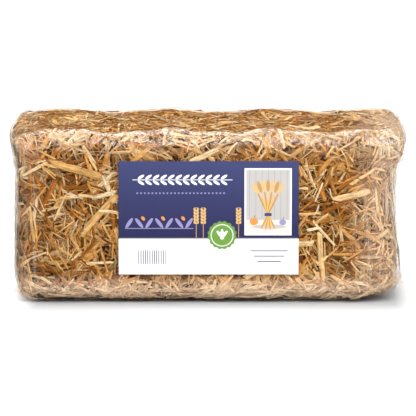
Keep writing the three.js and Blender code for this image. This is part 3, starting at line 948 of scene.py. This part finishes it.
# The ends' upright pleats show as painted highlights, whiter streaks: their scale, and how much whiter
# than the milk.
PLEAT_SCALE = (330.0, 330.0, 24.0)
PLEAT_HIGHLIGHTS = (0.52, 0.7, 0.0, 5.0)
CREASES_PER_METRE = 300.0
CREASE_DEPTH = 0.0006
GLINTS_PER_METRE = 280.0
GLINTS = (0.42, 0.62, 0.08, 1.35)
MOST_SHINE = 0.1
FILM_WHITE = (0.95, 0.85, 0.72, 1.0)
FILM_GLOW_SHARE = 0.6
# Each kind of film: its gloss against plain glass, and its milk all over.
FILM_KINDS = {
    "film_outside": (1.4, 0.002),
    "film_inside": (0.1, 0.0),
    "film_weld": (0.8, 0.34),
    "film_seam": (0.8, 0.6),
}


def film_relief(points, normals):
    """Ripples where the film lies on straw, pleats down the slack ends, and puckers along the top weld."""
    ripples = np.array([noise.noise(Vector(point) * RIPPLES_PER_METRE) for point in points])
    elsewhere = Vector((7.0, 3.0, 1.0))
    wander = np.array([noise.noise(Vector(point) * WANDER_PER_METRE + elsewhere) for point in points])
    on_end = np.abs(normals[:, 0]) ** 2
    pleats = np.sin(2 * math.pi * points[:, 1] / PLEAT_PITCH + 5 * wander)
    pleat_share = np.sin(math.pi * np.clip(points[:, 2] / BALE_HEIGHT, 0, 1)) ** 0.5
    from_seam = np.abs(points[:, 1] - BALE_DEPTH / 2 + SEAM_FROM_BACK)
    near_seam = np.exp(-((from_seam / PUCKER_REACH) ** 2)) * np.maximum(0, normals[:, 2])
    puckers = np.sin(2 * math.pi * points[:, 0] / PUCKER_PITCH + 6 * wander)
    relief = RIPPLE_HEIGHT * (0.3 + ripples)
    relief = relief + PLEAT_HEIGHT * (0.5 + 0.5 * pleats) * on_end * pleat_share
    relief = relief + PUCKER_HEIGHT * (0.5 + 0.5 * puckers) * near_seam
    return relief * loose_share(points, normals)


def end_fin(side):
    wall = FILM_WALL * 0.8
    flat = [(-FIN_ROOT, wall), (0.0, wall), (0.35, wall), (0.8, wall), (0.9, 2.2 * wall), (1.0, 1.3 * wall)]
    section = flat + [(out, -half) for out, half in reversed(flat)]
    rings = []
    for step in range(FIN_STEPS + 1):
        share = step / FIN_STEPS
        z = EDGE_RADIUS * 0.8 + (BALE_HEIGHT - EDGE_RADIUS * 1.6) * share
        round_share = FIN_END_SHARE + (1 - 2 * FIN_END_SHARE) * share
        width = FIN_WIDTH * math.sin(math.pi * round_share) ** FIN_ROUNDING
        x = BALE_LENGTH / 2 + float(end_bulge(z, side))
        lift = CORNER_LIFT * float(1 - smooth(z, 0, BALE_HEIGHT / 2)) if side > 0 else 0.0
        wave = math.sin(2 * math.pi * z / FIN_WAVE_LENGTH) + noise.noise(Vector((side, 0, z * 60)))
        ring = []
        for out, half in section:
            reach = out if out < 0 else out * width
            bent = FIN_WAVE * wave * max(0.0, out) ** 1.5
            ring.append((side * (x + reach), half + bent, z + lift))
        rings.append(ring[::side])
    return loft(rings)


def top_seam():
    reach = BALE_LENGTH / 2 - EDGE_RADIUS / 2
    rings = []
    for step in range(SEAM_STEPS + 1):
        x = -reach + 2 * reach * step / SEAM_STEPS
        y = BALE_DEPTH / 2 - SEAM_FROM_BACK + SEAM_WAVE * noise.noise(Vector((x * 70, 0, 4.0)))
        z = BALE_HEIGHT + float(lump(np.array([[x, y, BALE_HEIGHT]]))[0]) + SEAM_RADIUS
        turns = np.linspace(0, 2 * math.pi, 8, endpoint=False)
        rings.append([(x, y + SEAM_RADIUS * math.cos(t), z + SEAM_RADIUS * math.sin(t)) for t in turns])
    return loft(rings)


def film_ear(side_x, side_y, side_z):
    """A dog ear: a flattened, pleated cone of spare film that points out of a corner."""
    z = BALE_HEIGHT - EDGE_RADIUS * EAR_ROOT["top"] if side_z > 0 else EDGE_RADIUS * EAR_ROOT["bottom"]
    lift = CORNER_LIFT if side_x > 0 > side_z else 0.0
    x = BALE_LENGTH / 2 + float(end_bulge(z, side_x)) - EDGE_RADIUS * EAR_ROOT["x"]
    y = BALE_DEPTH / 2 - EDGE_RADIUS * EAR_ROOT["y"]
    root = Vector((side_x * x, side_y * y, z + lift))
    out = Vector((side_x * EAR_LEAN[0], side_y * EAR_LEAN[1], side_z * EAR_LEAN[2])).normalized()
    turn = out.to_track_quat("Z", "X")
    rings = []
    for step in range(EAR_STEPS + 1):
        share = step / EAR_STEPS
        radius = EAR_RADIUS * (1.02 - share) ** 0.8
        ring = []
        for i in range(EAR_SIDES):
            angle = 2 * math.pi * i / EAR_SIDES
            pleat = 1 + EAR_PLEAT_DEPTH * math.cos(EAR_PLEATS * angle) * share
            across = radius * EAR_FLATNESS * pleat * math.sin(angle)
            ring.append(root + turn @ Vector((radius * math.cos(angle), across, share * EAR_LENGTH)))
        rings.append(ring)
    return loft(rings)


def film_material(name):
    """Clear film, glossy in glints, and milky at its slack ends, along its foot and where seen edge-on: haze
    at the ends, and a painted reflection of the white sheet at the ends, the foot and edge-on.
    """
    gloss, haze = FILM_KINDS[name]
    material, tree, surface, place = new_material(name)
    x, _, z = put_parts(tree, place)
    at_end = put_maths(tree, "MAXIMUM", put_range(tree, x, *LEFT_END_HAZE_AND_REFLECTION), put_range(tree, x, *RIGHT_END_HAZE_AND_REFLECTION))
    # Painted reflection: the film whitens where seen edge-on, at its ends and along its foot, for its
    # reflection of the white sheet. At the ends it is partly the slack film's haze.
    edge_on = put_node(tree, "ShaderNodeLayerWeight", {"Blend": 0.5}).outputs["Facing"]
    haze_and_reflection = put_maths(tree, "MULTIPLY_ADD", put_maths(tree, "POWER", edge_on, EDGE_POWER), EDGE_ON_PAINTED_REFLECTION, haze)
    haze_and_reflection = put_maths(tree, "ADD", haze_and_reflection, put_maths(tree, "MAXIMUM", at_end, put_range(tree, z, *FOOT_PAINTED_REFLECTION)))
    clouds = put_range(tree, put_noise(tree, place, MILK_CLOUDS_PER_METRE, 3.0), *MILK_CLOUDS)
    haze_and_reflection = put_product(tree, haze_and_reflection, clouds)
    # Painted highlights: whiter streaks down the upright pleats of the ends.
    pleats = put_noise(tree, put_vector_maths(tree, "MULTIPLY", place, PLEAT_SCALE), 1.0)
    streaks = put_range(tree, pleats, *PLEAT_HIGHLIGHTS)
    haze_and_reflection = put_maths(tree, "MULTIPLY_ADD", streaks, at_end, haze_and_reflection, clamp=True)
    clear = put_node(tree, "ShaderNodeBsdfTransparent")
    lit = put_node(tree, "ShaderNodeBsdfDiffuse", {"Color": FILM_WHITE})
    glowing = put_node(tree, "ShaderNodeBsdfTranslucent", {"Color": FILM_WHITE})
    white_inputs = {0: FILM_GLOW_SHARE, 1: lit.outputs[0], 2: glowing.outputs[0]}
    white = put_node(tree, "ShaderNodeMixShader", white_inputs)
    body = put_node(tree, "ShaderNodeMixShader", {0: haze_and_reflection, 1: clear.outputs[0], 2: white.outputs[0]})
    bump = put_bump(tree, put_noise(tree, place, CREASES_PER_METRE, 4.0), CREASE_DEPTH)
    shine_share = put_node(tree, "ShaderNodeFresnel", {"IOR": 1.5, "Normal": bump}).outputs[0]
    shine_share = put_maths(tree, "MINIMUM", put_product(tree, shine_share, gloss), MOST_SHINE)
    glints = put_range(tree, put_noise(tree, place, GLINTS_PER_METRE, 3.0, 0.7), *GLINTS)
    shine_share = put_product(tree, shine_share, glints)
    shine = put_node(tree, "ShaderNodeBsdfGlossy", {"Roughness": 0.2, "Normal": bump})
    film = put_node(tree, "ShaderNodeMixShader", {0: shine_share, 1: body.outputs[0], 2: shine.outputs[0]})
    tree.links.new(film.outputs[0], surface)
    return material


def punch(x):
    turns = np.linspace(0, 2 * math.pi, 24, endpoint=False)
    rings = []
    for y in (BALE_DEPTH / 2 - EDGE_RADIUS, BALE_DEPTH / 2 + EDGE_RADIUS):
        middle = np.array([x, y, BALE_HEIGHT / 2]) + form_shift
        ring = [middle + VENT_RADIUS * np.array([math.cos(t), 0, -math.sin(t)]) for t in turns]
        rings.append(ring)
    return loft(rings)


def film_wrap():
    points, normals, faces = rounded_box(FILM_STEP)
    placed = bale_form(points, normals, film_relief(points, normals))
    outside, inside, weld, seam = [film_material(name) for name in FILM_KINDS]
    skin = mesh_object("film_skin", placed, faces, outside)
    skin.data.materials.append(inside)
    wall = skin.modifiers.new("wall", "SOLIDIFY")
    wall.thickness = FILM_WALL
    wall.material_offset = 1
    punches = []
    for side in (-1, 1):
        punches.append(mesh_object("vent_punch", *punch(side * VENT_SPACING / 2)))
        vent = skin.modifiers.new("vent", "BOOLEAN")
        vent.object = punches[-1]
    made = worked_out(skin, "film")
    for spent in punches:
        bpy.data.objects.remove(spent)
    shade_smooth(made.data)
    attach(made, "root")
    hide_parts("film_wrap")
    trims = [top_seam(), end_fin(-1), end_fin(1)]
    for side in (-1, 1):
        trims.append(film_ear(side, 1, 1))
        trims.append(film_ear(side, -1, -1))
    for k, (trim_points, trim_faces) in enumerate(trims):
        trim_places = np.asarray(trim_points, float) + form_shift
        trim = mesh_object(f"film_trim_{k + 1}", trim_places, trim_faces, weld if k else seam)
        shade_smooth(trim.data)
        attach(trim, "root")


film_wrap()


# The label: a flat printed paper card, stuck on the front of the film. It has a blue-violet field over a
# white band. The print is a plain harvest design: a sheaf in a picture panel, a white garland, golden ears,
# buds, leaves and a green rosette.
FIELD_BOTTOM = 31.5
FIELD_TOP_COLOUR = (0.040, 0.047, 0.138, 1.0)
FIELD_BOTTOM_COLOUR = (0.018, 0.019, 0.076, 1.0)
WHITE_INK = (0.82, 0.82, 0.84, 1.0)
LILAC_INK = (0.25, 0.23, 0.43, 1.0)
GREY_INK = (0.12, 0.12, 0.14, 1.0)
ORANGE_INK = (0.62, 0.24, 0.05, 1.0)
GOLD_INK = (0.46, 0.24, 0.06, 1.0)
PALE_GOLD_INK = (0.62, 0.39, 0.14, 1.0)
GREEN_INK = (0.13, 0.27, 0.04, 1.0)
PANEL_INK = (0.42, 0.40, 0.385, 1.0)
JOINT_INK = (0.30, 0.285, 0.28, 1.0)
TABLE_INK = (0.60, 0.56, 0.52, 1.0)
# How soft the edge of an oval and of a box is, as a share of its half size.
INK_EDGE = 0.04
BOX_EDGE = 0.01


class LabelPrint:
    """Prints one ink after another over the label, in millimetres from its lower left corner."""

    def __init__(self):
        self.material, self.tree, self.surface, place = new_material("label_print")
        moved = put_vector_maths(self.tree, "SUBTRACT", place, tuple(label_low))
        self.place = put_vector_maths(self.tree, "MULTIPLY", moved, (1000.0, 0.0, 1000.0))
        share = put_range(self.tree, put_parts(self.tree, self.place)[2], FIELD_BOTTOM, label_size.z * 1000)
        self.ink = put_mix(self.tree, share, FIELD_BOTTOM_COLOUR, FIELD_TOP_COLOUR)

    def add(self, share, colour):
        self.ink = put_mix(self.tree, share, self.ink, colour)

    def framed(self, centre, half, turn=0.0, place=None):
        inputs = {
            "Vector": place or self.place,
            "Location": (centre[0], 0.0, centre[1]),
            "Rotation": (0.0, math.radians(turn), 0.0),
            "Scale": (half[0], 1.0, half[1]),
        }
        return put_node(self.tree, "ShaderNodeMapping", inputs, vector_type="TEXTURE").outputs[0]

    def inside(self, distance, edge=INK_EDGE):
        return put_range(self.tree, distance, 1.0 - edge, 1.0 + edge, 1.0, 0.0)

    def oval(self, centre, half, turn=0.0, place=None):
        return self.inside(put_vector_maths(self.tree, "LENGTH", self.framed(centre, half, turn, place)))

    def box(self, centre, half, turn=0.0, place=None):
        across, _, upwards = put_parts(self.tree, self.framed(centre, half, turn, place))
        across = put_maths(self.tree, "ABSOLUTE", across)
        upwards = put_maths(self.tree, "ABSOLUTE", upwards)
        return self.inside(put_maths(self.tree, "MAXIMUM", across, upwards), BOX_EDGE)

    def repeated(self, pitch, rise=None):
        """The label's place, folded so that what is printed near 0 comes back at every pitch and rise."""
        across, _, height = put_parts(self.tree, self.place)
        across = put_maths(self.tree, "WRAP", across, pitch / 2, -pitch / 2)
        if rise:
            height = put_maths(self.tree, "WRAP", height, rise / 2, -rise / 2)
        return put_node(self.tree, "ShaderNodeCombineXYZ", {0: across, 2: height}).outputs[0]

    def both(self, first, second):
        return put_product(self.tree, first, second)

    def rosette(self, centre, radius, scallops, depth):
        round_place = self.framed(centre, (radius, radius))
        across, _, upwards = put_parts(self.tree, round_place)
        angle = put_maths(self.tree, "ARCTAN2", across, upwards)
        wave = put_maths(self.tree, "COSINE", put_product(self.tree, angle, float(scallops)))
        length = put_vector_maths(self.tree, "LENGTH", round_place)
        return self.inside(put_maths(self.tree, "MULTIPLY_ADD", wave, depth, length))


def print_garland(label, left, right, height):
    """A white ear of grain lying on its side, with grains in pairs along its stem."""
    middle = (left + right) / 2
    band = label.box((middle, height), ((right - left) / 2, 6.0))
    folded = label.repeated(6.4)
    for side in (-1, 1):
        grain = label.oval((0.0, height + side * 2.5), (3.1, 1.15), side * -32.0, folded)
        label.add(label.both(grain, band), WHITE_INK)
    label.add(label.box((middle, height), ((right - left) / 2 + 4, 0.28)), WHITE_INK)


def print_sheaf(label, x, foot):
    """Stalks fanned from a tie, with an ear on each, and their cut ends flared below it."""
    for step in range(-3, 4):
        lean = step * 8.5
        rise = Vector((math.sin(math.radians(lean)), math.cos(math.radians(lean))))
        stalk_ink, ear_ink = (GOLD_INK, PALE_GOLD_INK) if step % 2 else (PALE_GOLD_INK, GOLD_INK)
        pieces = (
            (11.0, (0.75, 14.5), stalk_ink),
            (25.0, (1.6, 5.2), ear_ink),
            (-6.5, (0.7, 7.5), stalk_ink),
        )
        for out, half, ink in pieces:
            label.add(label.oval((x + out * rise.x, foot + out * rise.y), half, lean), ink)
    label.add(label.box((x, foot), (3.0, 1.3)), FIELD_TOP_COLOUR)


def print_spray(label, left, foot):
    """A low spray of lilac leaves with orange buds."""
    for step in range(7):
        x = left + step * 8.5
        lean = -38 if step % 2 else 34
        label.add(label.oval((x, foot + 4.6), (1.5, 5.2), lean), LILAC_INK)
        if step % 2:
            label.add(label.oval((x + 3.4, foot + 8.6), (1.35, 2.1), lean), ORANGE_INK)
    label.add(label.box((left + 25.5, foot), (29.0, 0.3)), LILAC_INK)


def print_ears(label, pitch, groups, foot):
    """Upright golden ears at every pitch within the groups, their grains in pairs up the stalk."""
    middle = foot + 18.0
    group_shares = [label.box((x, middle), (half, 7.0)) for x, half in groups]
    stalk_shares = [label.box((x, middle - 7.0), (half, 12.0)) for x, half in groups]
    within = put_maths(label.tree, "MAXIMUM", *group_shares)
    below = put_maths(label.tree, "MAXIMUM", *stalk_shares)
    stalk = label.box((0.0, middle), (0.32, 20.0), 0.0, label.repeated(pitch))
    label.add(label.both(stalk, below), GOLD_INK)
    folded = label.repeated(pitch, 2.8)
    for side in (-1, 1):
        grain = label.oval((side * 1.25, 0.0), (0.85, 1.9), side * 24.0, folded)
        label.add(label.both(grain, within), PALE_GOLD_INK)


def print_picture(label, x, z, half):
    """The panel's still life: a boarded wall, a pale table, and a sheaf between two fruits."""
    label.add(label.box((x, z), (half[0] + 1.4, half[1] + 1.4)), WHITE_INK)
    panel = label.box((x, z), half)
    label.add(panel, PANEL_INK)
    joints = label.box((0.0, z), (0.22, half[1]), 0.0, label.repeated(5.3))
    label.add(label.both(joints, panel), JOINT_INK)
    label.add(label.box((x, z - half[1] + 6.0), (half[0], 6.0)), TABLE_INK)
    label.add(label.oval((x + 1.0, z - 21.5), (14.0, 1.8)), PANEL_INK)
    print_sheaf(label, x, z - 11.0)
    for offset, radius, ink in ((-12.0, 3.5, ORANGE_INK), (12.4, 2.8, LILAC_INK)):
        label.add(label.oval((x + offset, z - 20.5 + radius), (radius, radius * 0.92)), ink)
        label.add(label.oval((x + offset + 0.6, z - 19.6 + 2 * radius), (0.4, 1.3), 20), GREEN_INK)


def print_label():
    label = LabelPrint()
    width = label_size.x * 1000
    label.add(label.box((width / 2, FIELD_BOTTOM / 2), (width, FIELD_BOTTOM / 2)), WHITE_INK)
    label.add(label.box((width / 2, FIELD_BOTTOM), (width, 0.45)), GREY_INK)
    print_garland(label, 16.0, 92.8, 82.0)
    dots = label.oval((0.0, 70.5), (0.75, 0.75), 0.0, label.repeated(3.2))
    label.add(label.both(dots, label.box((53.0, 70.5), (39.0, 2.0))), LILAC_INK)
    print_spray(label, 9.0, 40.0)
    print_ears(label, 6.0, ((69.0, 6.0), (102.0, 3.0)), FIELD_BOTTOM + 1.5)
    print_picture(label, 127.0, 63.0, (18.6, 27.6))
    label.add(label.rosette((88.0, 34.0), 12.0, 16, 0.035), GREEN_INK)
    label.add(label.oval((88.0, 34.0), (9.6, 9.6)), WHITE_INK)
    label.add(label.oval((88.0, 34.0), (9.0, 9.0)), GREEN_INK)
    for lean in (-40, 0, 40):
        offset = Vector((math.sin(math.radians(lean)), math.cos(math.radians(lean)))) * 2.4
        label.add(label.oval((88.0 + offset.x, 32.5 + offset.y), (1.3, 4.6), lean), WHITE_INK)
    stripes = label.box((0.0, 15.0), (0.42, 6.0), 0.0, label.repeated(1.9))
    label.add(label.both(stripes, label.box((28.0, 15.0), (12.0, 6.0))), GREY_INK)
    for step in range(3):
        label.add(label.box((128.0, 20.5 - step * 4.6), (16.0 - 3.0 * step, 0.5)), GREY_INK)
    weave = put_noise(label.tree, label.place, 3.0, 3.0)
    inputs = {
        "Base Color": label.ink,
        "Roughness": 0.42,
        "Specular IOR Level": 0.3,
        "Normal": put_bump(label.tree, weave, 0.00003),
    }
    paint = put_node(label.tree, "ShaderNodeBsdfPrincipled", inputs)
    label.tree.links.new(paint.outputs[0], label.surface)
    return label.material


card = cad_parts["paper_label"]
card.data.materials.clear()
card.data.materials.append(print_label())
